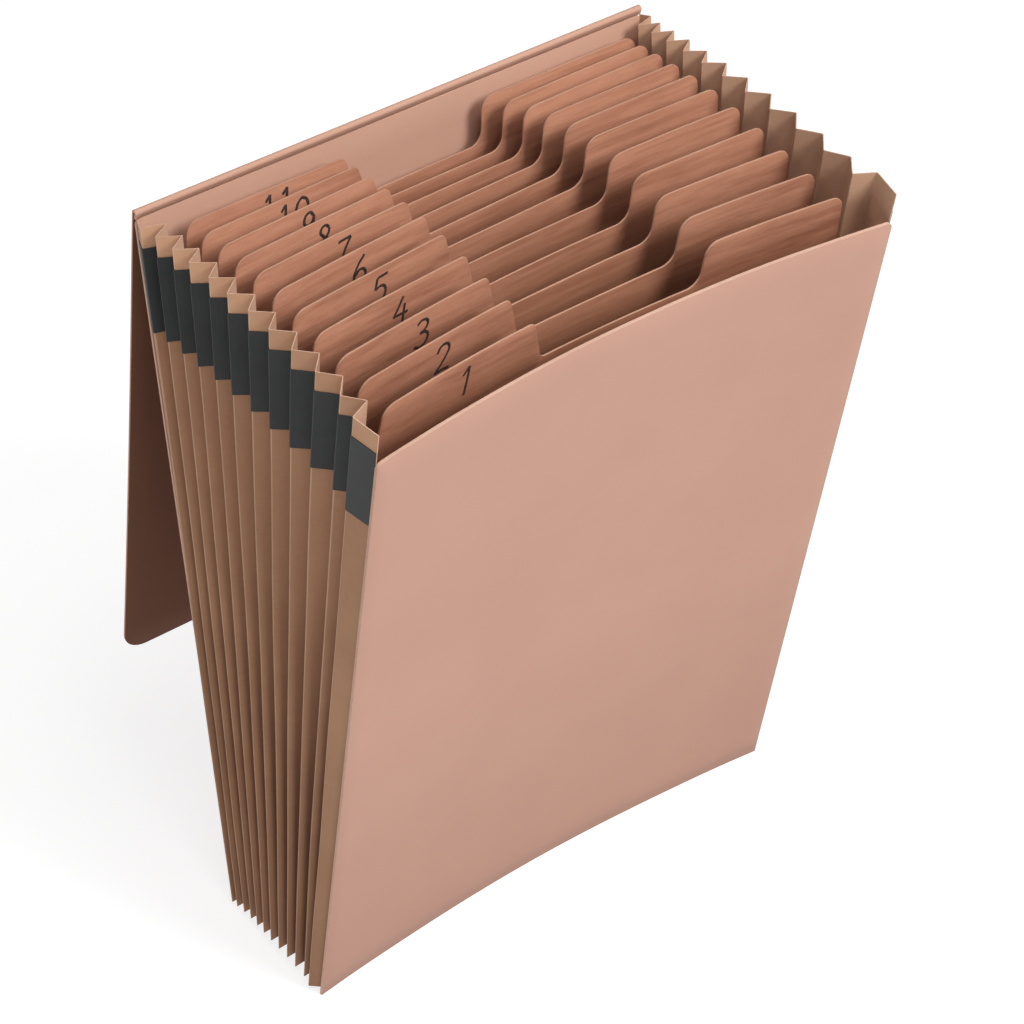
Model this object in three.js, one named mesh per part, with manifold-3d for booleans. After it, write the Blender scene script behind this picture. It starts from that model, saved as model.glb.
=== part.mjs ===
// Twelve-pocket expanding file, standing open as a fan.
// Millimetres, +Z up, front towards -Y, origin on the floor under the middle of the file.

import * as THREE from 'three';
import { mergeVertices } from 'three/addons/utils/BufferGeometryUtils.js';
import Module from 'manifold-3d';

const wasm = await Module();
wasm.setup();

// Driving dimensions: the file as a whole
const coverWidth = 235;
const frontHeight = 318;
const backHeight = 331;
const fanRadius = 245;

// Driving dimensions: the mouths of the pockets, measured along the top of the gusset
const pocketCount = 12;
const firstMouth = 16.5;
const secondMouth = 14.2;
const lastMouth = 10.2;

// Driving dimensions: sheets
const coverThickness = 1.3;
const dividerThickness = 0.8;
const gussetThickness = 0.4;
const tapeThickness = 0.25;
const flapThickness = 1.0;
const frontBowTop = 9;
const frontBowFoot = 7;
const rightLean = 9;
const leanPeak = 1.15;
const coverCorner = 2.5;

// Driving dimensions: dividers and their tabs
const dividerInset = 7;
const dividerRaise = 11;
const tabTopDrop = 3.5;
const notchDepth = 19;
const sideTaperLength = 52;
const leftTaperInset = 8;
const rightTaperInset = 5;
const leftTabEnd = -32;
const leftTabRun = 4.5;
const leftTabFillet = 3;
const rightTabStart = 47;
const rightTabDrift = 14;
const rightTabRun = 1.5;
const rightTabSweep = 6;
const tabCorner = 6;
const lowerCorner = 3;
const frontSettle = 6;
const settledSheets = 6;

// Driving dimensions: gusset pleats and their reinforcing tape
const pleatLeg = 9.5;
const foldGap = 0.3;
const coverGap = 0.4;
const coverSeam = 0.6;
const ridgeShift = 0.3;
const tapeDrop = 8.5;
const tapeHeight = 36;
const tapeFoldClearance = 2;

// Driving dimensions: the flap that hangs behind the back cover
const flapLength = 248;
const flapTilt = 7;
const flapRollRadius = 2.1;
const flapCorner = 11;

// Finish of the faceted curves
const bowSteps = 12;
const bowRows = 5;
const cornerSteps = 4;
const sweepSteps = 6;
const rollSteps = 14;

// Values worked out from the driving dimensions
const degree = Math.PI / 180;
const halfCover = coverWidth / 2;
const halfDivider = halfCover - dividerInset;
const topRadius = fanRadius + backHeight;
const seamRadius = fanRadius + dividerRaise;
const tapeTop = topRadius - tapeDrop;
const tapeBottom = tapeTop - tapeHeight;
const tapeRadii = [tapeTop, (tapeTop + tapeBottom) / 2, tapeBottom];
const panelAngles = fanAngles();
const floorDrop = fanRadius * Math.cos(panelAngles[0]);
const coverSkirt = 2 * coverThickness;
const cutterSize = 4 * (coverWidth + backHeight + fanRadius);

const board = material(0xc69c84, 0.78);
const divider = material(0xb17c66, 0.82);
const paper = material(0xa67a5e, 0.85);
const tape = material(0x2c2e2d, 0.55);

function material(color, roughness) {
  return new THREE.MeshStandardMaterial({ color, roughness, metalness: 0 });
}

// The covers and dividers stand on spokes of one wheel whose hub lies below the floor.
function fanAngles() {
  const mouths = [];
  for (let pocket = 1; pocket <= pocketCount; pocket += 1) {
    const share = pocketCount > 2 ? (pocket - 2) / (pocketCount - 2) : 0;
    const even = THREE.MathUtils.lerp(secondMouth, lastMouth, share);
    mouths.push(pocket === 1 ? firstMouth : even);
  }
  const total = mouths.reduce((sum, mouth) => sum + mouth, 0) / topRadius;
  const angles = [total / 2];
  for (const mouth of mouths) {
    angles.push(angles[angles.length - 1] - mouth / topRadius);
  }
  return angles;
}

// How far a panel's middle is pushed back from the line between its side edges. The bow is
// deepest at the top of the front cover, and fades out towards the back cover, which the fold of
// the flap keeps straight.
function panelBow(panel, radius) {
  const front = THREE.MathUtils.mapLinear(radius, fanRadius, topRadius, frontBowFoot, frontBowTop);
  return front * (1 - panel / pocketCount);
}

function isCover(panel) {
  return panel === 0 || panel === pocketCount;
}

// The right edges of the dividers lie further back than the left ones, most of all half way
// through the file and at the top.
function panelLean(panel, radius) {
  const turn = Math.PI * (panel / pocketCount) ** leanPeak;
  return rightLean * Math.sin(turn) * (radius - fanRadius) / (topRadius - fanRadius);
}

function bowAt(panel, x, radius) {
  const halfWidth = isCover(panel) ? halfCover : halfDivider - foldGap;
  const share = THREE.MathUtils.clamp(x / halfWidth, -1, 1);
  const lean = panelLean(panel, radius) * (1 + share) / 2;
  return panelBow(panel, radius) * (1 - share ** 2) + lean;
}

// Solids for joining and cutting

function toManifold(geometry) {
  const bare = geometry.index ? geometry.toNonIndexed() : geometry.clone();
  bare.deleteAttribute('normal');
  bare.deleteAttribute('uv');
  const merged = mergeVertices(bare, 1e-5);
  return new wasm.Manifold(new wasm.Mesh({
    numProp: 3,
    vertProperties: new Float32Array(merged.attributes.position.array),
    triVerts: new Uint32Array(merged.index.array),
  }));
}

function fromManifold(solid) {
  const mesh = solid.getMesh();
  const geometry = new THREE.BufferGeometry();
  geometry.setAttribute('position', new THREE.BufferAttribute(mesh.vertProperties, 3));
  geometry.setIndex(new THREE.BufferAttribute(mesh.triVerts, 1));
  geometry.computeVertexNormals();
  return geometry;
}

// Outlines in a panel's own plane: x across, y up along the panel

function roundedOutline(corners) {
  const shape = new THREE.Shape();
  corners.forEach(({ x, y, r = 0 }, index) => {
    const here = new THREE.Vector2(x, y);
    const before = corners[(index + corners.length - 1) % corners.length];
    const after = corners[(index + 1) % corners.length];
    const inward = new THREE.Vector2(before.x, before.y).sub(here).normalize();
    const outward = new THREE.Vector2(after.x, after.y).sub(here).normalize();
    const halfTurn = Math.acos(THREE.MathUtils.clamp(inward.dot(outward), -1, 1)) / 2;
    const reach = r / Math.tan(halfTurn);
    const start = here.clone().addScaledVector(inward, reach);
    const end = here.clone().addScaledVector(outward, reach);
    if (index === 0) {
      shape.moveTo(start.x, start.y);
    } else {
      shape.lineTo(start.x, start.y);
    }
    if (r > 0) {
      shape.quadraticCurveTo(here.x, here.y, end.x, end.y);
    }
  });
  shape.closePath();
  return shape;
}

// A flat prism of the outline, standing upright and wider than any bow or thickness.
function outlinePrism(shape, curveSegments) {
  const depth = 4 * (frontBowFoot + frontBowTop + rightLean + coverThickness + dividerThickness);
  const prism = new THREE.ExtrudeGeometry(shape, { depth, bevelEnabled: false, curveSegments });
  prism.translate(0, 0, -depth / 2);
  prism.rotateX(Math.PI / 2);
  return prism;
}

// A sheet raised from bottom to top and bowed across its width.
function bowedSheet(panel, halfWidth, thickness, bottom, top) {
  const height = top - bottom;
  const sheet = new THREE.BoxGeometry(2 * halfWidth, thickness, height, bowSteps, 1, bowRows);
  sheet.translate(0, 0, (bottom + top) / 2);
  const position = sheet.attributes.position;
  for (let vertex = 0; vertex < position.count; vertex += 1) {
    const bow = bowAt(panel, position.getX(vertex), position.getZ(vertex));
    position.setY(vertex, position.getY(vertex) + bow);
  }
  return sheet;
}

// Everything below the floor, in the frame of a panel that stands on its spoke.
function belowFloor(panel) {
  const block = new THREE.BoxGeometry(cutterSize, cutterSize, cutterSize);
  block.translate(0, 0, floorDrop - cutterSize / 2);
  block.rotateX(-panelAngles[panel]);
  return block;
}

// A cover starts a little below the floor, which then trims its lower edge flat.
function coverGeometry(panel, height) {
  const bottom = fanRadius - coverSkirt;
  const top = fanRadius + height;
  const outline = roundedOutline([
    { x: -halfCover, y: bottom },
    { x: halfCover, y: bottom },
    { x: halfCover, y: top, r: coverCorner },
    { x: -halfCover, y: top, r: coverCorner },
  ]);
  const sheet = bowedSheet(panel, halfCover, coverThickness, bottom, top);
  const shaped = toManifold(sheet).intersect(toManifold(outlinePrism(outline, cornerSteps)));
  return fromManifold(shaped.subtract(toManifold(belowFloor(panel))));
}

// The sheets behind the front cover stand a little lower than those at the back.
function settledDepth(panel) {
  const share = THREE.MathUtils.clamp((panel - 1) / settledSheets, 0, 1);
  return frontSettle * (0.5 + 0.5 * Math.cos(Math.PI * share));
}

// A divider's outline: tapered shoulders, a tab at the left, a notch, and a long tab at the right
// that starts with a soft S-curve.
function dividerOutline(panel) {
  const edge = halfDivider - foldGap;
  const tabTop = topRadius - tabTopDrop - settledDepth(panel);
  const notch = tabTop - notchDepth;
  const leftShoulder = leftTaperInset - edge;
  const rightShoulder = edge - rightTaperInset;
  const sweepTop = rightTabStart - rightTabDrift * ((panel - 1) / (pocketCount - 2)) ** 3;
  const taperStart = tabTop - sideTaperLength;
  return roundedOutline([
    { x: -edge, y: seamRadius + foldGap, r: lowerCorner },
    { x: edge, y: seamRadius + foldGap, r: lowerCorner },
    { x: edge, y: taperStart },
    { x: rightShoulder, y: tabTop, r: tabCorner },
    { x: sweepTop, y: tabTop, r: rightTabSweep },
    { x: sweepTop - rightTabRun, y: notch, r: rightTabSweep },
    { x: leftTabEnd + leftTabRun, y: notch, r: leftTabFillet },
    { x: leftTabEnd, y: tabTop, r: leftTabFillet },
    { x: leftShoulder, y: tabTop, r: tabCorner },
    { x: -edge, y: taperStart },
  ]);
}

function dividerGeometry(panel) {
  const half = halfDivider - foldGap;
  const sheet = bowedSheet(panel, half, dividerThickness, seamRadius, topRadius - tabTopDrop);
  const prism = outlinePrism(dividerOutline(panel), sweepSteps);
  return fromManifold(toManifold(sheet).intersect(toManifold(prism)));
}

// Gusset pleats. A pleat's section is a V that opens into the pocket. Its two coordinates are
// out, away from the edge of the dividers, and across, along the depth of the file from the
// pocket's middle plane.

function pocketHalf(pocket, radius) {
  return radius * Math.tan((panelAngles[pocket - 1] - panelAngles[pocket]) / 2);
}

// The two ends and the ridge of the V's outer face at a distance from the fan's hub. Both legs
// are equally long, except that a cover takes up part of its leg where the pocket is narrow.
function pleatFold(pocket, radius) {
  const half = pocketHalf(pocket, radius);
  const seam = dividerInset - coverSeam;
  const toCover = half - coverThickness / 2 - coverGap;
  const toFold = half - foldGap / 2;
  const a = pocket === 1 ? new THREE.Vector2(seam, -toCover) : new THREE.Vector2(0, -toFold);
  const b = pocket === pocketCount ? new THREE.Vector2(seam, toCover) : new THREE.Vector2(0, toFold);
  const base = b.clone().sub(a);
  const rise = Math.sqrt(Math.max(pleatLeg ** 2 - base.lengthSq() / 4, 0));
  const evenRidge = (a.y + b.y) / 2 - rise * base.x / base.length();
  const across = THREE.MathUtils.clamp(evenRidge, -ridgeShift * half, ridgeShift * half);
  const fold = pocket === 1 ? b : a;
  const out = fold.x + Math.sqrt(Math.max(pleatLeg ** 2 - (across - fold.y) ** 2, 0));
  return { a, ridge: new THREE.Vector2(out, across), b };
}

// Where two lines meet, each given by a point and a direction.
function meet(p, d, q, e) {
  const cross = d.x * e.y - d.y * e.x;
  const s = ((q.x - p.x) * e.y - (q.y - p.y) * e.x) / cross;
  return p.clone().addScaledVector(d, s);
}

// The V thickened towards the pocket, as six points round the section.
function pleatSection(pocket, radius) {
  const { a, ridge, b } = pleatFold(pocket, radius);
  const alongA = ridge.clone().sub(a).normalize();
  const alongB = ridge.clone().sub(b).normalize();
  const insideA = a.clone().addScaledVector(new THREE.Vector2(-alongA.y, alongA.x), gussetThickness);
  const insideB = b.clone().addScaledVector(new THREE.Vector2(alongB.y, -alongB.x), gussetThickness);
  const faceA = pocket === 1 ? new THREE.Vector2(1, 0) : new THREE.Vector2(0, 1);
  const faceB = pocket === pocketCount ? new THREE.Vector2(1, 0) : new THREE.Vector2(0, 1);
  return [
    a,
    ridge,
    b,
    meet(insideB, alongB, b, faceB),
    meet(insideA, alongA, insideB, alongB),
    meet(insideA, alongA, a, faceA),
  ];
}

// Rings of points joined into one closed skin. Each ring has the six points of a V section, and
// each face between two rings is split along its shorter diagonal.
function loftRings(rings) {
  const size = rings[0].length;
  const positions = rings.flat().flatMap((point) => [point.x, point.y, point.z]);
  const index = [];
  for (let ring = 0; ring + 1 < rings.length; ring += 1) {
    for (let step = 0; step < size; step += 1) {
      const next = (step + 1) % size;
      const [a, b] = [rings[ring][step], rings[ring][next]];
      const [d, c] = [rings[ring + 1][step], rings[ring + 1][next]];
      const low = ring * size;
      const high = low + size;
      if (a.distanceToSquared(c) <= b.distanceToSquared(d)) {
        index.push(low + step, low + next, high + next, low + step, high + next, high + step);
      } else {
        index.push(low + step, low + next, high + step, low + next, high + next, high + step);
      }
    }
  }
  const caps = [[0, 5, 4], [0, 4, 1], [1, 4, 3], [1, 3, 2]];
  const last = (rings.length - 1) * size;
  for (const [i, j, k] of caps) {
    index.push(i, j, k, last + k, last + j, last + i);
  }
  const geometry = new THREE.BufferGeometry();
  geometry.setAttribute('position', new THREE.Float32BufferAttribute(positions, 3));
  geometry.setIndex(index);
  geometry.computeVertexNormals();
  return geometry;
}

// A point of a pleat's section, placed round the pocket and at most a little below the radius
// that the section was made for. It follows the bow of the two panels that the pleat joins.
function pleatPoint(pocket, x, across, radius, below = 0) {
  const half = pocketHalf(pocket, radius);
  const towardsRear = THREE.MathUtils.clamp((across / half + 1) / 2, 0, 1);
  const front = bowAt(pocket - 1, x, radius - below);
  const rear = bowAt(pocket, x, radius - below);
  const bow = THREE.MathUtils.lerp(front, rear, towardsRear);
  return new THREE.Vector3(x, across + bow, radius - below);
}

function sideRing(pocket, section, radius, side) {
  return section.map((point) => pleatPoint(pocket, side * (halfDivider + point.x), point.y, radius));
}

// One pleat runs down the left side, round a mitred corner, along the bottom and up the right.
function gussetGeometry(pocket) {
  const sides = [topRadius, ...tapeRadii, (tapeBottom + seamRadius) / 2];
  const rings = sides.map((radius) => sideRing(pocket, pleatSection(pocket, radius), radius, -1));
  const section = pleatSection(pocket, seamRadius);
  for (let step = 0; step <= bowSteps; step += 1) {
    const share = 2 * step / bowSteps - 1;
    const mitre = step === 0 || step === bowSteps ? Math.sign(share) : 0;
    rings.push(section.map((point) => {
      const x = share * halfDivider + mitre * point.x;
      return pleatPoint(pocket, x, point.y, seamRadius, point.x);
    }));
  }
  for (const radius of sides.reverse()) {
    rings.push(sideRing(pocket, pleatSection(pocket, radius), radius, 1));
  }
  return loftRings(rings);
}

// The section of the tape: a V a hair outside the one that it is stuck to.
function tapeSection(pocket, radius) {
  const { a, ridge, b } = pleatFold(pocket, radius);
  const alongA = ridge.clone().sub(a).normalize();
  const alongB = ridge.clone().sub(b).normalize();
  const outA = new THREE.Vector2(alongA.y, -alongA.x);
  const outB = new THREE.Vector2(-alongB.y, alongB.x);
  const shell = (offset) => {
    const startA = a.clone().addScaledVector(alongA, tapeFoldClearance).addScaledVector(outA, offset);
    const startB = b.clone().addScaledVector(alongB, tapeFoldClearance).addScaledVector(outB, offset);
    return [startA, meet(startA, alongA, startB, alongB), startB];
  };
  return [...shell(foldGap + tapeThickness), ...shell(foldGap).reverse()];
}

function tapeGeometry(pocket, side) {
  const radii = side < 0 ? tapeRadii : [...tapeRadii].reverse();
  return loftRings(radii.map((radius) => sideRing(pocket, tapeSection(pocket, radius), radius, side)));
}

// The flap: a rolled fold along the top of the back cover and a flat sheet that hangs from it.
function flapGeometry() {
  const inner = flapRollRadius - flapThickness;
  const start = Math.sqrt(flapRollRadius ** 2 - inner ** 2);
  const profile = new THREE.Shape();
  profile.moveTo(0, flapRollRadius);
  profile.lineTo(-flapLength, flapRollRadius);
  profile.lineTo(-flapLength, inner);
  profile.lineTo(-start, inner);
  const first = Math.atan2(inner, -start);
  for (let step = 1; step < rollSteps; step += 1) {
    const angle = THREE.MathUtils.lerp(first, Math.PI / 2 + 2 * Math.PI, step / rollSteps);
    profile.lineTo(flapRollRadius * Math.cos(angle), flapRollRadius * Math.sin(angle));
  }
  profile.closePath();
  const sheet = new THREE.ExtrudeGeometry(profile, { depth: coverWidth, bevelEnabled: false });
  const axes = new THREE.Matrix4().set(
    0, 0, 1, -halfCover,
    0, 1, 0, 0,
    1, 0, 0, 0,
    0, 0, 0, 1,
  );
  sheet.applyMatrix4(axes);
  turnFacesRound(sheet);
  const outline = roundedOutline([
    { x: -halfCover, y: -flapLength, r: flapCorner },
    { x: halfCover, y: -flapLength, r: flapCorner },
    { x: halfCover, y: 2 * flapRollRadius },
    { x: -halfCover, y: 2 * flapRollRadius },
  ]);
  const solid = toManifold(sheet).intersect(toManifold(outlinePrism(outline, cornerSteps)));
  return fromManifold(solid);
}

// A change of axes that mirrors a solid leaves its faces pointing in, so their order is reversed.
function turnFacesRound(geometry) {
  const position = geometry.attributes.position;
  const a = new THREE.Vector3();
  const c = new THREE.Vector3();
  for (let vertex = 0; vertex < position.count; vertex += 3) {
    a.fromBufferAttribute(position, vertex);
    c.fromBufferAttribute(position, vertex + 2);
    position.setXYZ(vertex, c.x, c.y, c.z);
    position.setXYZ(vertex + 2, a.x, a.y, a.z);
  }
}

// Assembly

function named(name, geometry, finish) {
  const mesh = new THREE.Mesh(geometry, finish);
  mesh.name = name;
  return mesh;
}

function twoDigits(number) {
  return String(number).padStart(2, '0');
}

const file = new THREE.Group();
const fan = new THREE.Group();
fan.position.z = -floorDrop;
file.add(fan);

const frontCover = named('front_cover', coverGeometry(0, frontHeight), board);
frontCover.rotation.x = panelAngles[0];
fan.add(frontCover);

const backCover = named('back_cover', coverGeometry(pocketCount, backHeight), board.clone());
backCover.rotation.x = panelAngles[pocketCount];
fan.add(backCover);

for (let panel = 1; panel < pocketCount; panel += 1) {
  const sheet = named(`divider_${twoDigits(panel)}`, dividerGeometry(panel), divider.clone());
  sheet.rotation.x = panelAngles[panel];
  fan.add(sheet);
}

for (let pocket = 1; pocket <= pocketCount; pocket += 1) {
  const pleat = new THREE.Group();
  pleat.rotation.x = (panelAngles[pocket - 1] + panelAngles[pocket]) / 2;
  const label = twoDigits(pocket);
  pleat.add(named(`gusset_${label}`, gussetGeometry(pocket), paper.clone()));
  pleat.add(named(`tape_left_${label}`, tapeGeometry(pocket, -1), tape.clone()));
  pleat.add(named(`tape_right_${label}`, tapeGeometry(pocket, 1), tape.clone()));
  fan.add(pleat);
}

// The flap turns about the axis of its roll, which sits just above the back cover's top edge.
const flap = named('flap', flapGeometry(), board.clone());
const rollHeight = topRadius + foldGap + flapRollRadius;
const crease = new THREE.Group();
crease.rotation.x = panelAngles[pocketCount];
flap.position.z = rollHeight;
flap.rotation.x = flapTilt * degree - panelAngles[pocketCount];
crease.add(flap);
fan.add(crease);

// The origin is put under the middle of the whole file.
const extent = new THREE.Box3().setFromObject(file, true);
file.position.y = -(extent.min.y + extent.max.y) / 2;

export default file;
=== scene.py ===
# %% [markdown]
# # An expanding file, standing open
# A filing case of pressboard and kraft paper: two covers, eleven tabbed dividers between them, and
# one long strip of paper that is folded into pleats and runs down one side, along the bottom and
# up the other. Spread open, every sheet leans like a spoke of a wheel whose hub lies below the
# desk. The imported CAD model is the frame; the pieces made here are the paper goods that dress it.

# %%
import math

import bmesh
import bpy
from mathutils import Matrix, Vector, noise


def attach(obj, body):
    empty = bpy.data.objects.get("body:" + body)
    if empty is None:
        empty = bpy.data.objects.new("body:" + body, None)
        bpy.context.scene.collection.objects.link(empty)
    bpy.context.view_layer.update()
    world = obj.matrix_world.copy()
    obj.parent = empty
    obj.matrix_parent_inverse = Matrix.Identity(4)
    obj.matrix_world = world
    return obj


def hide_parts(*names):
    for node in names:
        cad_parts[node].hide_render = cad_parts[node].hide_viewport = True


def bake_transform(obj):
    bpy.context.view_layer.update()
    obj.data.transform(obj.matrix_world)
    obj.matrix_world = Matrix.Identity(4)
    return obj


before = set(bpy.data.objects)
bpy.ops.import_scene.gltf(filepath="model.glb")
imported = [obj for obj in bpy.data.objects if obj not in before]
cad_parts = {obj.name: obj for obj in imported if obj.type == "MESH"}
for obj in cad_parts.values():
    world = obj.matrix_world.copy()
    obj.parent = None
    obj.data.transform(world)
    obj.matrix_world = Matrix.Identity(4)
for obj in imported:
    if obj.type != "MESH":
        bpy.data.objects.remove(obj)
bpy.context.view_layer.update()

# %% [markdown]
# ## Sizes
# Paper is cut to measure, so the sheets are described by the same few lengths as the CAD model.
# Keeping them in one cell, in millimetres, makes it plain what fits inside what. The spokes are
# found by adding up the mouths of the pockets, each measured along the top of the gusset. The
# first pocket has the widest mouth, and each one behind it is a little narrower.

# %%
mm = 0.001

half_cover = 117.5 * mm
half_divider = 110.5 * mm
foot_radius = 245 * mm
seam_radius = 256 * mm
front_top = 563 * mm
top_radius = 576 * mm

cover_thickness = 1.3 * mm
divider_thickness = 0.8 * mm
flap_thickness = 1.0 * mm
gusset_thickness = 0.35 * mm
tape_thickness = 0.2 * mm

pocket_count = 12
first_mouth = 16.5 * mm
second_mouth = 14.2 * mm
narrowing = 0.4 * mm
mouths = [first_mouth] + [second_mouth - narrowing * step for step in range(pocket_count - 1)]
panel_angles = [sum(mouths) / top_radius / 2]
for mouth in mouths:
    panel_angles.append(panel_angles[-1] - mouth / top_radius)

hub = Vector((0, -16.821, -242.907)) * mm
print("panels lean from", [round(math.degrees(a), 2) for a in (panel_angles[0], panel_angles[-1])])

# %% [markdown]
# A helper places a piece that was modelled upright, as if its spoke pointed straight up: `x` runs
# across, `z` is the distance from the hub, and a turn about the X axis leans it to its own angle.
# A pocket's own spoke lies half way between those of its two sheets.

# %%


def on_spoke(angle):
    return Matrix.Translation(hub) @ Matrix.Rotation(angle, 4, "X")


def pocket_angle(pocket):
    return (panel_angles[pocket - 1] + panel_angles[pocket]) / 2


# %% [markdown]
# ## How the sheets bow
# Thin board never stays flat once it is handled. The front cover's middle is pushed back, most of
# all at its top, and each sheet behind it a little less. The right edges of the dividers also lie
# further back than the left ones. The side edges are held by the gusset, so a slight ripple is
# added only where the board is free: this is what catches the light.

# %%
bow_foot = 7 * mm
bow_top = 9 * mm
right_lean = 9 * mm
lean_peak = 1.15


def lean_at(panel):
    return right_lean * math.sin(math.pi * (panel / pocket_count) ** lean_peak)


def bow_at(panel, x, radius):
    up = (radius - foot_radius) / (top_radius - foot_radius)
    depth = bow_foot + (bow_top - bow_foot) * up
    half = half_cover if panel in (0, pocket_count) else half_divider
    share = max(-1, min(1, x / half))
    lean = lean_at(panel) * up * (1 + share) / 2
    return depth * (1 - panel / pocket_count) * (1 - share**2) + lean


def ripple_at(panel, x, radius, depth):
    free = 1 - min(abs(x) / half_divider, 1) ** 4
    spot = Vector((x * 14, radius * 7, panel * 3.1))
    return depth * free * noise.noise(spot)


# %% [markdown]
# ## Camera
# The camera looks down on the near left edge from about forty degrees up, with a long lens so
# that the sheets stay nearly parallel. Its direction is built from three numbers, a turn, a
# height and a slight roll, and written straight into its matrix.

# %%
turn = -0.6774
height = 0.7263
roll = 0.0325
picture_pixels = 1024
focal_pixels = 3112.5
sensor_width = 36

back = Vector((
    math.sin(turn) * math.cos(height),
    -math.cos(turn) * math.cos(height),
    math.sin(height),
))
level = Vector((math.cos(turn), math.sin(turn), 0))
upright = back.cross(level)
camera_right = level * math.cos(roll) + upright * math.sin(roll)
camera_up = upright * math.cos(roll) - level * math.sin(roll)

camera_data = bpy.data.cameras.new("camera")
camera_data.sensor_width = sensor_width
camera_data.lens = sensor_width * focal_pixels / picture_pixels
camera = bpy.data.objects.new("camera", camera_data)
bpy.context.scene.collection.objects.link(camera)
camera.matrix_world = Matrix((camera_right, camera_up, back)).transposed().to_4x4()
camera.location = Vector((-575.6, -733.1, 996.3)) * mm
bpy.context.scene.camera = camera
print("lens", round(camera_data.lens, 1), "mm")

# %% [markdown]
# ## Nodes
# Every surface here is made of the same few nodes: noise or waves on the object's own
# coordinates, ramps that turn a value into a colour, mixes, and bumps. Short helpers keep the
# recipes below readable. `fade_out` falls smoothly from one to nothing between two places.

# %%


def new_material(name):
    material = bpy.data.materials.new(name)
    material.use_nodes = True
    tree = material.node_tree
    shader = next(node for node in tree.nodes if node.type == "BSDF_PRINCIPLED")
    return material, tree, shader


def object_coordinates(tree):
    return tree.nodes.new("ShaderNodeTexCoord").outputs["Object"]


def split_coordinates(tree):
    split = tree.nodes.new("ShaderNodeSeparateXYZ")
    tree.links.new(object_coordinates(tree), split.inputs["Vector"])
    return split.outputs


def noise_node(tree, scale, detail, stretch=(1, 1, 1), roughness=0.5):
    mapping = tree.nodes.new("ShaderNodeMapping")
    mapping.inputs["Scale"].default_value = stretch
    texture = tree.nodes.new("ShaderNodeTexNoise")
    texture.inputs["Scale"].default_value = scale
    texture.inputs["Detail"].default_value = detail
    texture.inputs["Roughness"].default_value = roughness
    tree.links.new(object_coordinates(tree), mapping.inputs["Vector"])
    tree.links.new(mapping.outputs["Vector"], texture.inputs["Vector"])
    return texture.outputs["Fac"]


def math_node(tree, operation, *values):
    node = tree.nodes.new("ShaderNodeMath")
    node.operation = operation
    for socket, value in zip(node.inputs, values):
        tree.links.new(value, socket)
    return node.outputs["Value"]


def fade_out(tree, value, start, end):
    node = tree.nodes.new("ShaderNodeMapRange")
    node.interpolation_type = "SMOOTHSTEP"
    node.inputs["From Min"].default_value = start
    node.inputs["From Max"].default_value = end
    node.inputs["To Min"].default_value = 1
    node.inputs["To Max"].default_value = 0
    tree.links.new(value, node.inputs["Value"])
    return node.outputs["Result"]


def ramp_node(tree, value, stops):
    ramp = tree.nodes.new("ShaderNodeValToRGB")
    elements = ramp.color_ramp.elements
    elements[0].position = stops[0][0]
    elements[-1].position = stops[-1][0]
    for place, _ in stops[1:-1]:
        elements.new(place)
    for element, (_, colour) in zip(elements, stops):
        element.color = (*colour, 1)
    tree.links.new(value, ramp.inputs["Fac"])
    return ramp.outputs["Color"]


def mix_colours(tree, factor, first, second, mode="MIX"):
    mix = tree.nodes.new("ShaderNodeMix")
    mix.data_type = "RGBA"
    mix.blend_type = mode
    if isinstance(factor, float):
        mix.inputs["Factor"].default_value = factor
    else:
        tree.links.new(factor, mix.inputs["Factor"])
    for socket, colour in ((mix.inputs[6], first), (mix.inputs[7], second)):
        if isinstance(colour, tuple):
            socket.default_value = (*colour, 1)
        else:
            tree.links.new(colour, socket)
    return mix.outputs[2]


def multiply_colours(tree, first, second):
    return mix_colours(tree, 1.0, first, second, "MULTIPLY")


def bump_node(tree, value, strength, distance, under=None):
    bump = tree.nodes.new("ShaderNodeBump")
    bump.inputs["Strength"].default_value = strength
    bump.inputs["Distance"].default_value = distance
    tree.links.new(value, bump.inputs["Height"])
    if under is not None:
        tree.links.new(under, bump.inputs["Normal"])
    return bump.outputs["Normal"]


# %% [markdown]
# ## Paper and board
# Pressboard is paper pulp rolled hard and dyed a warm terracotta, with fine flecks and a faint
# cloudiness. Noise of three sizes gives the clouds, the grain and the flecks, and a fourth is the
# tooth of the surface, which drives only the bump. The colours stay close together, because the
# real board looks even until it is seen from near by. Shade is painted into the colour by height:
# the paper is made darker towards its foot, and redder, so the blue is taken down more than the
# red. The dividers, which are pulled up by their tops, have fine creases that run across them.
# Painted shade also darkens the pleats deep in their valleys, which lie nearer to the middle of
# the file than the ridges do, and more so lower down, where the folds are closed.

# %%
white = (1.0, 1.0, 1.0)
black = (0.0, 0.0, 0.0)
shade_rates = (1.0, 1.15, 1.3)
valley_reach = (115.6 * mm, 118.4 * mm)
valley_height = (70 * mm, 280 * mm)


# Painted shade: the colour is made darker, and redder, by height.
def shade_by_height(tree, colour, depths):
    stops = [(place, [1 - rate * depth for rate in shade_rates]) for place, depth in depths]
    return multiply_colours(tree, colour, ramp_node(tree, split_coordinates(tree)["Z"], stops))


# Painted shade: the pleats darken deep in their valleys, most of all low down.
def shade_in_valleys(tree, colour, tint):
    place = split_coordinates(tree)
    inward = fade_out(tree, math_node(tree, "ABSOLUTE", place["X"]), *valley_reach)
    low = fade_out(tree, place["Z"], *valley_height)
    deep = math_node(tree, "MULTIPLY", inward, low)
    return multiply_colours(tree, colour, mix_colours(tree, deep, white, tint))


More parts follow.
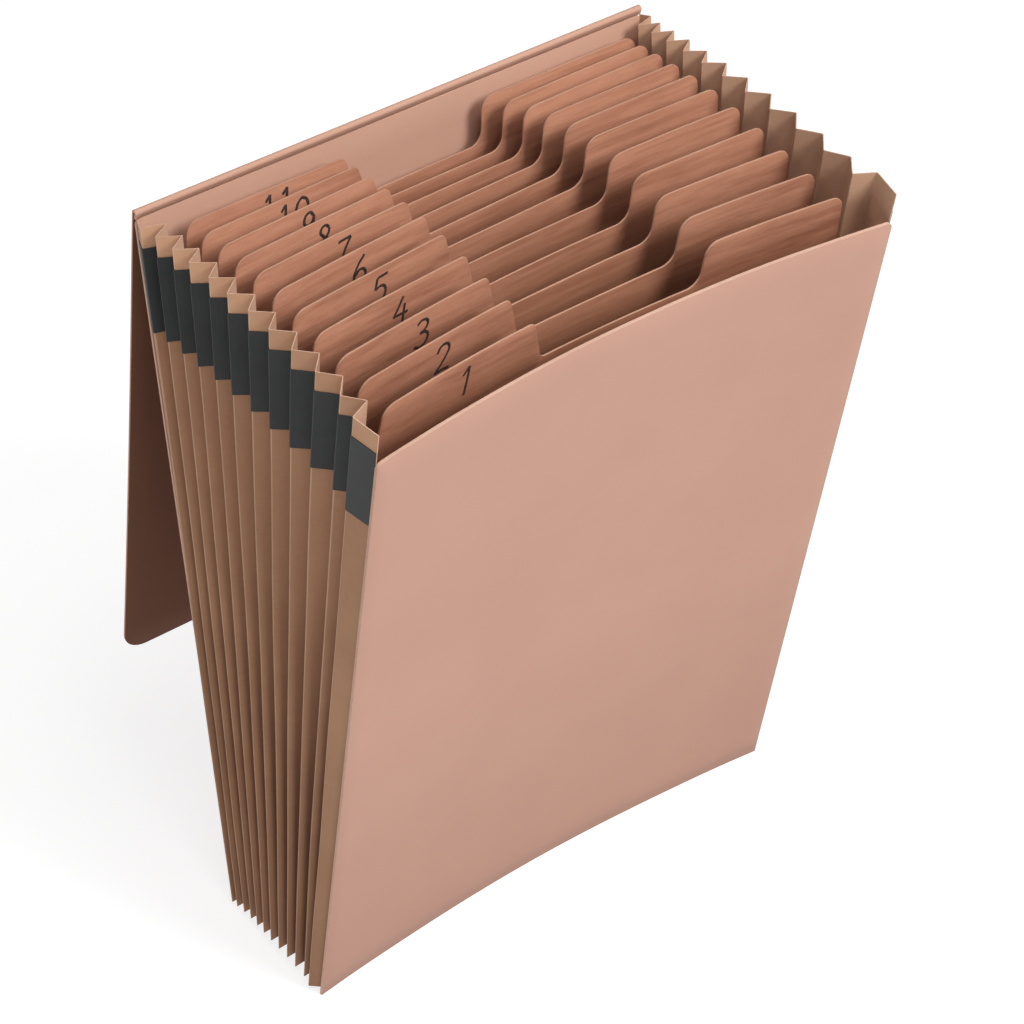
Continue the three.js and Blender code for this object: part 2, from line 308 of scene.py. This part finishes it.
def paper_material(
    name, dark, light, fleck, rough, streaks, shade=(), valley=(), creases=0.0
):
    material, tree, shader = new_material(name)
    tones = ((0.35, dark), (0.65, light))
    clouds = ramp_node(tree, noise_node(tree, 22, 3), tones)
    grain = ramp_node(tree, noise_node(tree, 520, 6, (0.12, 1, 1), 0.7), tones)
    specks = noise_node(tree, 1400, 4, roughness=0.75)
    flecks = ramp_node(tree, specks, ((0.60, black), (0.78, white)))
    colour = mix_colours(tree, flecks, mix_colours(tree, streaks, clouds, grain), fleck)
    tooth = noise_node(tree, 900, 5, roughness=0.65)
    normal = bump_node(tree, tooth, 0.25, 0.2 * mm)
    if shade:
        colour = shade_by_height(tree, colour, shade)
    if valley:
        colour = shade_in_valleys(tree, colour, valley)
    if creases:
        ridges = noise_node(tree, 150, 3, (0.07, 1, 1), 0.6)
        worn = ramp_node(tree, ridges, ((0.36, (0.80, 0.74, 0.71)), (0.52, white)))
        colour = multiply_colours(tree, colour, worn)
        normal = bump_node(tree, ridges, creases, 0.6 * mm, under=normal)
    tree.links.new(colour, shader.inputs["Base Color"])
    tree.links.new(normal, shader.inputs["Normal"])
    shader.inputs["Roughness"].default_value = rough
    shader.inputs["Specular IOR Level"].default_value = 0.28
    return material


inner_board = paper_material(
    "inner_board", (0.525, 0.302, 0.218), (0.555, 0.322, 0.234), (0.60, 0.37, 0.28), 0.72, 0.4
)
# Painted shade: the cover board is darker towards its foot.
cover_board = paper_material(
    "cover_board", (0.505, 0.285, 0.218), (0.525, 0.300, 0.229), (0.57, 0.35, 0.275), 0.72, 0.3,
    shade=((0.0, 0.17), (0.15, 0.05), (0.31, 0.06)),
)
# Painted shade: a darker copy of the cover board, for the side of the flap in the fan's shade.
flap_painted_shade = paper_material(
    "flap_painted_shade", (0.150, 0.060, 0.030), (0.165, 0.066, 0.034), (0.21, 0.095, 0.055), 0.72, 0.3
)
# Painted shade: the dividers darken below their tabs, where the sheets in front shade them.
divider_board = paper_material(
    "divider_board", (0.430, 0.190, 0.114), (0.545, 0.260, 0.162), (0.62, 0.34, 0.23), 0.70, 0.6,
    shade=((0.275, 0.58), (0.323, 0.0)), creases=0.55,
)
divider_edge = paper_material(
    "divider_edge", (0.41, 0.22, 0.145), (0.51, 0.295, 0.205), (0.60, 0.39, 0.29), 0.85, 0.5
)
cut_edge = paper_material(
    "cut_edge", (0.52, 0.32, 0.235), (0.62, 0.40, 0.30), (0.70, 0.50, 0.39), 0.85, 0.5
)
# Painted shade: the pleats are darker lower down and deep in their valleys; above the tape they are
# left lighter.
kraft_paper = paper_material(
    "kraft_paper", (0.48, 0.262, 0.155), (0.57, 0.322, 0.194), (0.63, 0.39, 0.26), 0.8, 0.3,
    shade=((0.0, 0.38), (0.15, 0.21), (0.285, 0.25), (0.32, 0.0)), valley=(0.42, 0.32, 0.25),
)
# Painted light: a lighter copy of the kraft, without the shade by height, for the inner faces of
# the pleats.
kraft_inside_painted_light = paper_material(
    "kraft_inside_painted_light", (0.50, 0.29, 0.185), (0.60, 0.37, 0.25), (0.66, 0.44, 0.31), 0.8, 0.3
)
# The pleats' bevelled ridges get a paler paper, with painted shade towards the foot.
pale_fold_painted_shade = paper_material(
    "pale_fold_painted_shade", (0.50, 0.31, 0.205), (0.61, 0.40, 0.28), (0.68, 0.48, 0.35), 0.8, 0.3,
    shade=((0.0, 0.30), (0.285, 0.13), (0.32, 0.0)),
)
print("papers:", inner_board.name, cover_board.name, divider_board.name, kraft_paper.name)

# %% [markdown]
# ## Book cloth and ink
# Book cloth is a close plain weave filled with starch. Two crossed sets of fine waves, about half
# a millimetre apart, make the weave. They drive the bump and tint the threads a little, all of
# one near-black green. The ink is a marker's: dark, but thin enough in places to let the board
# through.

# %%
thread_spacing = 0.45 * mm
unit_wave = 0.314


def weave(tree, spacing):
    bands = []
    for direction in ("Z", "Y"):
        wave = tree.nodes.new("ShaderNodeTexWave")
        wave.bands_direction = direction
        wave.inputs["Scale"].default_value = unit_wave / spacing
        wave.inputs["Distortion"].default_value = 0.6
        wave.inputs["Detail"].default_value = 1
        tree.links.new(object_coordinates(tree), wave.inputs["Vector"])
        bands.append(wave.outputs["Fac"])
    return math_node(tree, "MULTIPLY", *bands)


def cloth_material(name, dark, light):
    material, tree, shader = new_material(name)
    threads = weave(tree, thread_spacing)
    woven = ramp_node(tree, threads, ((0.1, dark), (0.9, light)))
    worn = ramp_node(tree, noise_node(tree, 60, 4), ((0.35, dark), (0.65, light)))
    tree.links.new(mix_colours(tree, 0.5, woven, worn), shader.inputs["Base Color"])
    tree.links.new(bump_node(tree, threads, 0.4, 0.1 * mm), shader.inputs["Normal"])
    shader.inputs["Roughness"].default_value = 0.62
    shader.inputs["Specular IOR Level"].default_value = 0.4
    shader.inputs["Sheen Weight"].default_value = 0.08
    return material


book_cloth = cloth_material("book_cloth", (0.0085, 0.0105, 0.0100), (0.019, 0.0225, 0.021))
cloth_edge = cloth_material("cloth_edge", (0.02, 0.022, 0.021), (0.045, 0.047, 0.044))

marker_ink, tree, shader = new_material("marker_ink")
ink_tones = ((0.35, (0.028, 0.018, 0.016)), (0.75, (0.085, 0.05, 0.04)))
ink = ramp_node(tree, noise_node(tree, 700, 3), ink_tones)
tree.links.new(ink, shader.inputs["Base Color"])
shader.inputs["Roughness"].default_value = 0.6
print("cloth and ink:", book_cloth.name, cloth_edge.name, marker_ink.name)

# %% [markdown]
# ## A sheet of board
# A sheet is first a flat outline: one face with a vertex at each corner. Bevelling a vertex
# rounds it, and working corner by corner lets each have its own radius. Cutting the face with
# planes gives it enough points to bow, Solidify gives it its thickness, and a hair of a bevel
# along the rim stops the cut edge from looking like a knife.

# %%
face_slot, edge_slot, inner_slot = range(3)
rim_width = 0.16 * mm
rim_angle = 1.0
facing = 0.8
strip_width = 7 * mm
strip_height = 14 * mm


def round_corner(bm, vert, radius):
    one, other = [edge.other_vert(vert).co - vert.co for edge in vert.link_edges]
    reach = radius / math.tan(one.angle(other) / 2)
    bmesh.ops.bevel(
        bm, geom=[vert], affect="VERTICES", offset=reach, offset_type="OFFSET",
        segments=8, profile=0.5, material=-1,
    )


def flat_outline(corners, y=0.0):
    bm = bmesh.new()
    ring = [bm.verts.new((x, y, z)) for x, z, _ in corners]
    bm.faces.new(ring)
    for vert, (_, _, radius) in zip(ring, corners):
        if radius:
            round_corner(bm, vert, radius)
    return bm


def cut_into_strips(bm, axis, spacing):
    values = [vert.co[axis] for vert in bm.verts]
    low, high = min(values), max(values)
    count = round((high - low) / spacing)
    normal = Vector((0, 0, 0))
    normal[axis] = 1
    for step in range(1, count):
        place = normal * (low + (high - low) * step / count)
        geometry = bm.verts[:] + bm.edges[:] + bm.faces[:]
        bmesh.ops.bisect_plane(bm, geom=geometry, plane_co=place, plane_no=normal, dist=1e-5)


def thicken(bm, thickness):
    before = sum((vert.co for vert in bm.verts), Vector()) / len(bm.verts)
    bmesh.ops.solidify(bm, geom=bm.faces[:], thickness=thickness)
    after = sum((vert.co for vert in bm.verts), Vector()) / len(bm.verts)
    bmesh.ops.translate(bm, verts=bm.verts[:], vec=before - after)


def soften_rim(bm):
    rim = [e for e in bm.edges if len(e.link_faces) == 2 and e.calc_face_angle() > rim_angle]
    bmesh.ops.bevel(
        bm, geom=rim, affect="EDGES", offset=rim_width, offset_type="OFFSET",
        segments=2, profile=0.5, material=-1,
    )


def finish_piece(bm, name, placement, materials):
    bmesh.ops.transform(bm, matrix=placement, verts=bm.verts[:])
    mesh = bpy.data.meshes.new(name)
    bm.to_mesh(mesh)
    bm.free()
    for material in materials:
        mesh.materials.append(material)
    mesh.polygons.foreach_set("use_smooth", [True] * len(mesh.polygons))
    mesh.set_sharp_from_angle(angle=math.radians(35))
    piece = bpy.data.objects.new(name, mesh)
    bpy.context.scene.collection.objects.link(piece)
    return piece


def board_sheet(name, panel, corners, thickness, ripple, materials):
    bm = flat_outline(corners)
    cut_into_strips(bm, 0, strip_width)
    cut_into_strips(bm, 2, strip_height)
    for vert in bm.verts:
        x, radius = vert.co.x, vert.co.z
        vert.co.y += bow_at(panel, x, radius) + ripple_at(panel, x, radius, ripple)
    bmesh.ops.recalc_face_normals(bm, faces=bm.faces[:])
    thicken(bm, thickness)
    soften_rim(bm)
    for face in bm.faces:
        face.material_index = edge_slot if abs(face.normal.y) < facing else face_slot
    return finish_piece(bm, name, on_spoke(panel_angles[panel]), materials)


# %% [markdown]
# ## The covers
# Both covers are plain upright boards with slightly rounded top corners. The front one stops
# short of the gusset, so that the pleats show above it. Their feet are trimmed level with the
# desk by one more cutting plane, since a leaning board with a square-cut foot would not stand.
# The side that faces the dividers is the plain side of the board, a little lighter.

# %%
cover_foot = foot_radius - 2.6 * mm
cover_corner = 2.5 * mm
cover_ripple = 0.5 * mm


def trim_at_floor(piece):
    bm = bmesh.new()
    bm.from_mesh(piece.data)
    geometry = bm.verts[:] + bm.edges[:] + bm.faces[:]
    bmesh.ops.bisect_plane(
        bm, geom=geometry, plane_co=(0, 0, 0), plane_no=(0, 0, 1), dist=1e-6, clear_inner=True
    )
    open_edges = [edge for edge in bm.edges if edge.is_boundary]
    bmesh.ops.holes_fill(bm, edges=open_edges, sides=0)
    bm.to_mesh(piece.data)
    bm.free()


def cover(name, panel, top, body):
    corners = [
        (-half_cover, cover_foot, 0),
        (half_cover, cover_foot, 0),
        (half_cover, top, cover_corner),
        (-half_cover, top, cover_corner),
    ]
    finish = [cover_board, cut_edge, inner_board]
    piece = board_sheet(name, panel, corners, cover_thickness, cover_ripple, finish)
    trim_at_floor(piece)
    towards_fan = 1 if panel == 0 else -1
    for face in piece.data.polygons:
        if face.normal.y * towards_fan > facing:
            face.material_index = inner_slot
    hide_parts(name.replace("_sheet", ""))
    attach(piece, body)
    return piece


front_cover = cover("front_cover_sheet", 0, front_top, "front")
back_cover = cover("back_cover_sheet", pocket_count, top_radius, "back")
print("covers of", [len(piece.data.polygons) for piece in (front_cover, back_cover)], "faces")

# %% [markdown]
# ## The dividers
# Every divider is cut by the same die: a short tab at the left, a sunk stretch, and a long tab at
# the right that rises in a soft S. Their sides taper near the top so that a sheet slips between
# the pleats. One outline serves nearly all eleven, though the S moves inwards towards the back.
# The front ones have settled a few millimetres into the gusset, and each gets its own share of
# the bow and a ripple.

# %%
side_gap = 0.3 * mm
tab_gap = 3.5 * mm
tab_height = 19 * mm
shoulder_height = 52 * mm
left_shoulder, left_corner = 8 * mm, 6 * mm
right_shoulder, right_corner = 2 * mm, 5 * mm
foot_corner = 3 * mm
tab_corner = 3 * mm
left_tab_end = -32 * mm
left_tab_foot = -27.5 * mm
sweep_start = 47 * mm
sweep_drift = 14 * mm
sweep_run = 1.5 * mm
sweep_corner = 6 * mm
settling = 6 * mm
settled_panels = 6
divider_ripple = 0.9 * mm


def settled_depth(panel):
    share = min(max((panel - 1) / settled_panels, 0), 1)
    return settling * (0.5 + 0.5 * math.cos(math.pi * share))


def tab_top_of(panel):
    return top_radius - tab_gap - settled_depth(panel)


def divider_outline(panel):
    edge = half_divider - side_gap
    foot = seam_radius + side_gap
    tab_top = tab_top_of(panel)
    notch = tab_top - tab_height
    taper_start = tab_top - shoulder_height
    sweep_top = sweep_start - sweep_drift * ((panel - 1) / (pocket_count - 2)) ** 3
    return [
        (-edge, foot, foot_corner),
        (edge, foot, foot_corner),
        (edge, taper_start, 0),
        (edge - right_shoulder, tab_top, right_corner),
        (sweep_top, tab_top, sweep_corner),
        (sweep_top - sweep_run, notch, sweep_corner),
        (left_tab_foot, notch, tab_corner),
        (left_tab_end, tab_top, tab_corner),
        (left_shoulder - edge, tab_top, left_corner),
        (-edge, taper_start, 0),
    ]


dividers = []
for panel in range(1, pocket_count):
    label = f"{panel:02d}"
    piece = board_sheet(
        f"divider_sheet_{label}", panel, divider_outline(panel), divider_thickness,
        divider_ripple, [divider_board, divider_edge],
    )
    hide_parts(f"divider_{label}")
    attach(piece, f"leaf_{label}")
    dividers.append(piece)
print(len(dividers), "dividers of", len(dividers[0].data.polygons), "faces")

# %% [markdown]
# ## One pleat
# Seen from above, a pleat is a V whose two legs never change length: where the pocket's mouth is
# wide the V is shallow, and lower down it closes and its ridge moves out. A function gives the
# three points of the V at any distance from the hub, and half the width of the pocket there. The
# first and last legs are glued to a cover, so they start nearer its edge, and the first one is
# pulled almost flat, which leaves its ridge close to the first divider. The ridge sways a little
# on its way down. A second function moves a point of the V along with the bowed sheets.

# %%
leg = 9.5 * mm
seam = half_cover - half_divider - 0.6 * mm
paper_gap = 0.04 * mm
ridge_swing = 0.3
first_pull = 0.55
ridge_sway = 0.35 * mm


def pleat_fold(pocket, radius):
    half = radius * math.tan((panel_angles[pocket - 1] - panel_angles[pocket]) / 2)
    to_cover = half - cover_thickness / 2 - paper_gap
    to_divider = half - paper_gap
    front = Vector((seam, -to_cover)) if pocket == 1 else Vector((0, -to_divider))
    rear = Vector((seam, to_cover)) if pocket == pocket_count else Vector((0, to_divider))
    if pocket == 1:
        across = first_pull * half
    else:
        base = rear - front
        rise = math.sqrt(max(leg**2 - base.length_squared / 4, 0))
        even = (front.y + rear.y) / 2 - rise * base.x / base.length
        across = max(-ridge_swing * half, min(ridge_swing * half, even))
    free = rear if pocket == 1 else front
    out = free.x + math.sqrt(max(leg**2 - (across - free.y) ** 2, 0))
    sway = ridge_sway * noise.noise(Vector((radius * 11, pocket * 5.3, 0)))
    return front, Vector((out + sway, across + 1.5 * sway)), rear, half


def pleat_point(pocket, x, across, radius, half):
    to_rear = max(0, min(1, (across / half + 1) / 2))
    front = bow_at(pocket - 1, x, radius)
    rear = bow_at(pocket, x, radius)
    return Vector((x, across + front + (rear - front) * to_rear, radius))


top_ridge = pleat_fold(2, top_radius)[1].x
print("ridge of the second pleat stands out", round(top_ridge / mm, 1), "mm at its top")

# %% [markdown]
# ## The gusset
# Each strip is made in two halves that meet under the middle of the file. A half starts as the V
# at the top of its side. Extruding the two edges ring by ring carries it down that side, round
# the mitred corner and along the bottom. The ridge is then bevelled, because folded kraft paper
# never comes to a perfectly sharp edge, and the strip is given its thickness. Each half bends
# between the two sheets that it joins, and at the right that follows the way these sheets lean.

# %%
fold_slot, inside_face_slot = 2, 3
paper_fold = 0.5 * mm
bottom_steps = 12
sides = ((-1, "left"), (1, "right"))
side_radii = [576, 571, 564, 552, 540, 528, 516, 500, 480, 456, 430, 402, 374, 346, 320, 296, 275]
side_radii = [radius * mm for radius in side_radii]


def side_ring(pocket, radius, side, lift=0.0):
    front, ridge, rear, half = pleat_fold(pocket, radius)
    to_front = (front - ridge).normalized()
    to_rear = (rear - ridge).normalized()
    outward = -(to_front + to_rear).normalized()
    spread = lift / max(math.sin(to_front.angle(to_rear) / 2), 0.3)
    points = []
    for end, along in ((front, to_front), (rear, to_rear)):
        normal = Vector((along.y, -along.x))
        normal *= math.copysign(lift, normal.dot(outward))
        trim = lift * abs(along.x) / max(abs(along.y), 0.1)
        points.append(end - along * trim + normal)
    points.insert(1, ridge + outward * spread)
    return [pleat_point(pocket, side * (half_divider + p.x), p.y, radius, half) for p in points]


def bottom_ring(pocket, share, mitre):
    *points, half = pleat_fold(pocket, seam_radius)
    ring = []
    for p in points:
        x = share * half_divider + mitre * p.x
        placed = pleat_point(pocket, x, p.y, seam_radius, half)
        placed.z -= p.x
        ring.append(placed)
    return ring


def folded_strip(rings):
    bm = bmesh.new()
    row = [bm.verts.new(point) for point in rings[0]]
    edges = [bm.edges.new(pair) for pair in zip(row, row[1:])]
    ridge_line = []
    for ring in rings[1:]:
        grown = bmesh.ops.extrude_edge_only(bm, edges=edges)["geom"]
        fresh = [item for item in grown if isinstance(item, bmesh.types.BMVert)]
        edges = [item for item in grown if isinstance(item, bmesh.types.BMEdge)
                 and all(vert in fresh for vert in item.verts)]
        nearest = [min(fresh, key=lambda v, old=old: (v.co - old.co).length) for old in row]
        for vert, point in zip(nearest, ring):
            vert.co = point
        ridge_line.append(bm.edges.get((row[1], nearest[1])))
        row = nearest
    return bm, ridge_line


def shift_to_middle(bm, thickness):
    bm.normal_update()
    moves = [vert.normal * thickness / 2 for vert in bm.verts]
    for vert, move in zip(bm.verts, moves):
        vert.co += move


def fold_paper(bm, ridge_line, thickness, ridge_radius, side):
    bmesh.ops.recalc_face_normals(bm, faces=bm.faces[:])
    first = bm.faces[:][0]
    if first.normal.x * side < 0:
        bmesh.ops.reverse_faces(bm, faces=bm.faces[:])
    worn = bmesh.ops.bevel(
        bm, geom=ridge_line, affect="EDGES", offset=ridge_radius, offset_type="OFFSET",
        segments=3, profile=0.5, material=-1,
    )["faces"]
    for face in worn:
        face.material_index = fold_slot
    shift_to_middle(bm, thickness)
    outer = set(bm.verts)
    bmesh.ops.solidify(bm, geom=bm.faces[:], thickness=thickness)
    for face in bm.faces:
        both = {vert in outer for vert in face.verts}
        if len(both) == 2:
            face.material_index = edge_slot
        elif False in both:
            face.material_index = inside_face_slot


def folded_piece(name, pocket, side, rings, thickness, ridge_radius, materials):
    bm, ridge_line = folded_strip(rings)
    fold_paper(bm, ridge_line, thickness, ridge_radius, side)
    return finish_piece(bm, name, on_spoke(pocket_angle(pocket)), materials)


def bend_with_pocket(piece):
    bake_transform(piece)


gussets = []
for pocket in range(1, pocket_count + 1):
    for side, side_name in sides:
        rings = [side_ring(pocket, radius, side) for radius in side_radii]
        rings.append(bottom_ring(pocket, side, side))
        for step in range(bottom_steps - 1, -1, -1):
            rings.append(bottom_ring(pocket, side * step / bottom_steps, 0))
        # The outer faces and ridges carry painted shade, the inner faces a lighter copy as painted
        # light.
        piece = folded_piece(
            f"pleat_{side_name}_{pocket:02d}", pocket, side, rings, gusset_thickness,
            paper_fold, [kraft_paper, cut_edge, pale_fold_painted_shade, kraft_inside_painted_light],
        )
        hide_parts(f"gusset_{pocket:02d}")
        bend_with_pocket(piece)
        gussets.append(piece)
print(len(gussets), "half pleats of", len(gussets[0].data.polygons), "faces")

# %% [markdown]
# ## Binding tape
# A band of dark book cloth is glued round the mouths, just below the tops of the pleats, to keep
# the paper from tearing. It is the same V as the pleat, lifted off it by half of both
# thicknesses, so one helper makes both. Tape that lay in the pleat's own surface would flicker.

# %%
tape_top = top_radius - 8.5 * mm
tape_height = 36 * mm
tape_steps = 4
tape_fold = 0.6 * mm
tape_stray = 0.5 * mm
tape_lift = (gusset_thickness + tape_thickness) / 2 + 0.03 * mm

tapes = []
for pocket in range(1, pocket_count + 1):
    for side, side_name in sides:
        uneven = tape_stray * noise.noise(Vector((pocket * 1.7, side * 4.1, 0)))
        rings = []
        for step in range(tape_steps + 1):
            radius = tape_top + uneven - tape_height * step / tape_steps
            rings.append(side_ring(pocket, radius, side, tape_lift))
        piece = folded_piece(
            f"cloth_tape_{side_name}_{pocket:02d}", pocket, side, rings, tape_thickness,
            tape_fold, [book_cloth, cloth_edge, book_cloth, book_cloth],
        )
        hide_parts(f"tape_{side_name}_{pocket:02d}")
        bend_with_pocket(piece)
        tapes.append(piece)
print(len(tapes), "lengths of tape")

# %% [markdown]
# ## The flap
# The flap is one board with the back cover: it goes over the top in a rolled crease and hangs
# behind. The sheet is a flat outline again, cut into strips. Its top row of edges is then spun
# about the axis of the crease and drawn down to the cover, which makes the bend from the very
# same board. A slight curl lifts its lower edge. The side that faces the fan hangs in deep shade,
# and that shade is painted in as a darker copy of the board.

# %%
shaded_slot, crease_slot = 1, 2
roll_radius = 1.4 * mm
roll_height = 2.4 * mm
roll_steps = 14
flap_length = 248 * mm
flap_corner = 11 * mm
flap_hang = math.radians(7)
flap_strip = 9 * mm
flap_curl = 2.5 * mm
flap_ripple = 0.8 * mm
tail_back, tail_drop = 0.3 * mm, 2.2 * mm
crease_foot = -3 * mm

roll_centre = on_spoke(panel_angles[-1]) @ Vector((0, 0, top_radius + roll_height))
flap_place = Matrix.Translation(roll_centre) @ Matrix.Rotation(flap_hang, 4, "X")
flap_corners = [
    (-half_cover, -flap_length, flap_corner),
    (half_cover, -flap_length, flap_corner),
    (half_cover, 0, 0),
    (-half_cover, 0, 0),
]
bm = flat_outline(flap_corners, roll_radius - flap_thickness / 2)
cut_into_strips(bm, 0, flap_strip)
cut_into_strips(bm, 2, strip_height)
for vert in bm.verts:
    drop = -vert.co.z / flap_length
    vert.co.y += flap_curl * drop**3 + flap_ripple * drop * noise.noise(vert.co * 9)
top_row = [e for e in bm.edges if all(abs(v.co.z) < 1e-6 for v in e.verts)]
swept = bmesh.ops.spin(
    bm, geom=top_row, cent=(0, 0, 0), axis=(1, 0, 0), angle=math.pi, steps=roll_steps,
    use_merge=False,
)["geom_last"]
last_row = [item for item in swept if isinstance(item, bmesh.types.BMEdge)]
for item in bmesh.ops.extrude_edge_only(bm, edges=last_row)["geom"]:
    if isinstance(item, bmesh.types.BMVert):
        item.co.y += tail_back
        item.co.z -= tail_drop
bmesh.ops.remove_doubles(bm, verts=bm.verts[:], dist=1e-6)
bmesh.ops.recalc_face_normals(bm, faces=bm.faces[:])
shift_to_middle(bm, flap_thickness)
bmesh.ops.solidify(bm, geom=bm.faces[:], thickness=flap_thickness)
soften_rim(bm)
# Painted shade: the faces towards the fan get the darker copy of the board.
for face in bm.faces:
    if face.calc_center_median().z > crease_foot:
        face.material_index = crease_slot
    else:
        face.material_index = shaded_slot if face.normal.y < -0.5 else face_slot
flap_sheet = finish_piece(bm, "flap_sheet", flap_place, [cover_board, flap_painted_shade, inner_board])
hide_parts("flap")
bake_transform(flap_sheet)
print("flap hangs from", [round(c, 4) for c in roll_centre])

# %% [markdown]
# ## Hand-written numerals
# Each left tab carries a mark in ink. Plain numerals are written here, from the front pocket to
# the last. A numeral is a few strokes of a marker: smooth curves through listed points,
# given a round nib, turned into a mesh, pressed flat and laid on the bowed face of its tab. They
# get smaller towards the back, and each has a slant and a place of its own.

# %%
nib_radius = 0.6 * mm
digit_width = 0.78
pressing = 0.08
line_slope = 0.05
ink_gap = 0.03 * mm
first_height, first_depth = 13 * mm, 10.6 * mm
shrinking = 0.3 * mm
tab_middle, stray = -61 * mm, 3 * mm
slant_mean, slant_range = 0.10, 0.06

strokes = {
    "0": [[(0.28, 1.0), (0.07, 0.8), (0.02, 0.45), (0.15, 0.06), (0.36, 0.03), (0.53, 0.4),
           (0.48, 0.82), (0.24, 1.0)]],
    "1": [[(0.1, 0.78), (0.3, 1.02)], [(0.3, 1.02), (0.29, 0.5), (0.26, 0.0)]],
    "2": [[(0.05, 0.76), (0.17, 0.96), (0.38, 0.97), (0.5, 0.78), (0.38, 0.46), (0.04, 0.03)],
          [(0.04, 0.03), (0.3, 0.05), (0.58, 0.0)]],
    "3": [[(0.06, 0.9), (0.25, 1.0), (0.46, 0.87), (0.42, 0.63), (0.2, 0.53)],
          [(0.2, 0.53), (0.47, 0.46), (0.53, 0.22), (0.32, 0.0), (0.03, 0.1)]],
    "4": [[(0.34, 1.0), (0.19, 0.66), (0.02, 0.36)], [(0.02, 0.36), (0.3, 0.36), (0.58, 0.34)],
          [(0.43, 0.7), (0.41, 0.3), (0.4, -0.03)]],
    "5": [[(0.54, 0.98), (0.12, 0.97)], [(0.12, 0.97), (0.08, 0.56)],
          [(0.08, 0.56), (0.34, 0.61), (0.52, 0.36), (0.36, 0.04), (0.03, 0.05)]],
    "6": [[(0.42, 1.0), (0.14, 0.62), (0.05, 0.25), (0.22, 0.0), (0.47, 0.1), (0.5, 0.36),
           (0.28, 0.5), (0.08, 0.32)]],
    "7": [[(0.02, 0.95), (0.3, 0.97), (0.55, 0.97)], [(0.55, 0.97), (0.31, 0.5), (0.2, 0.0)]],
    "8": [[(0.46, 0.86), (0.26, 1.0), (0.08, 0.84), (0.2, 0.6), (0.43, 0.4), (0.5, 0.18),
           (0.28, 0.0), (0.06, 0.16), (0.17, 0.42), (0.41, 0.62), (0.47, 0.84)]],
    "9": [[(0.48, 0.8), (0.28, 1.0), (0.06, 0.8), (0.16, 0.52), (0.4, 0.56), (0.5, 0.82)],
          [(0.5, 0.82), (0.45, 0.4), (0.32, -0.02)]],
}


def written_number(text, tall):
    curve = bpy.data.curves.new("marks", "CURVE")
    curve.dimensions = "3D"
    curve.bevel_depth = nib_radius
    curve.bevel_resolution = 2
    curve.resolution_u = 6
    curve.use_fill_caps = True
    for place, digit in enumerate(text):
        left = (place - len(text) / 2) * digit_width * tall
        for stroke in strokes[digit]:
            spline = curve.splines.new("BEZIER")
            spline.bezier_points.add(len(stroke) - 1)
            for point, (x, z) in zip(spline.bezier_points, stroke):
                point.co = (left + x * tall, 0, (z - 0.5) * tall)
                point.handle_left_type = "AUTO"
                point.handle_right_type = "AUTO"
    marks = bpy.data.objects.new("marks", curve)
    mesh = bpy.data.meshes.new_from_object(marks)
    bpy.data.objects.remove(marks)
    return mesh


for panel in range(1, pocket_count):
    smaller = shrinking * panel
    radius = tab_top_of(panel) - (first_depth - smaller)
    bm = bmesh.new()
    bm.from_mesh(written_number(str(panel), first_height - smaller))
    slant = slant_mean + slant_range * noise.noise(Vector((panel * 2.3, 0, 0)))
    centre = tab_middle + stray * noise.noise(Vector((panel * 1.3, 5, 0)))
    for vert in bm.verts:
        x = centre + vert.co.x + slant * vert.co.z
        z = radius + vert.co.z + line_slope * vert.co.x
        board = bow_at(panel, x, z) + ripple_at(panel, x, z, divider_ripple)
        face = board - divider_thickness / 2 - ink_gap
        vert.co = (x, face + vert.co.y * pressing, z)
    bmesh.ops.recalc_face_normals(bm, faces=bm.faces[:])
    name = f"numeral_{panel:02d}"
    piece = finish_piece(bm, name, on_spoke(panel_angles[panel]), [marker_ink])
    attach(piece, f"leaf_{panel:02d}")
print("numerals 1 to", pocket_count - 1)

# %% [markdown]
# ## Light and floor
# The object stands on a light table, so that the page behind it stays white and only a trace of
# its shadow is left. One broad lamp stands high at the front right, so that the covers are
# bright, a weaker one at the left reaches the pleats without lighting the flap, and a third
# overhead looks into the pockets. The surround itself stays dim, to leave some depth in them.

# %%
scene = bpy.context.scene
scene.view_settings.view_transform = "Standard"
scene.view_settings.look = "None"

floor_material, tree, shader = new_material("floor")
shader.inputs["Base Color"].default_value = (0.38, 0.38, 0.38, 1)
shader.inputs["Roughness"].default_value = 0.9
shader.inputs["Emission Color"].default_value = (1, 1, 1, 1)
shader.inputs["Emission Strength"].default_value = 0.78
bm = bmesh.new()
bmesh.ops.create_grid(bm, x_segments=2, y_segments=2, size=6)
mesh = bpy.data.meshes.new("floor")
bm.to_mesh(mesh)
bm.free()
mesh.materials.append(floor_material)
floor = bpy.data.objects.new("floor", mesh)
floor.location.z = -0.3 * mm
scene.collection.objects.link(floor)

world = bpy.data.worlds.new("surround")
world.use_nodes = True
surround = world.node_tree.nodes["Background"].inputs
surround["Color"].default_value = (1, 1, 1, 1)
surround["Strength"].default_value = 0.08
scene.world = world

lamp_target = Vector((0, 0, 0.17))


def soft_lamp(name, place, size, power):
    data = bpy.data.lights.new(name, "AREA")
    data.shape = "DISK"
    data.size = size
    data.energy = power
    lamp = bpy.data.objects.new(name, data)
    scene.collection.objects.link(lamp)
    lamp.location = place
    lamp.rotation_euler = (lamp_target - Vector(place)).to_track_quat("-Z", "Y").to_euler()


soft_lamp("key", (0.55, -1.25, 1.55), 0.8, 29)
soft_lamp("left_fill", (-1.6, 0.35, 1.2), 0.7, 5.5)
soft_lamp("top", (-0.1, -0.5, 1.9), 0.8, 15)
print(len(bpy.data.lights), "lamps")
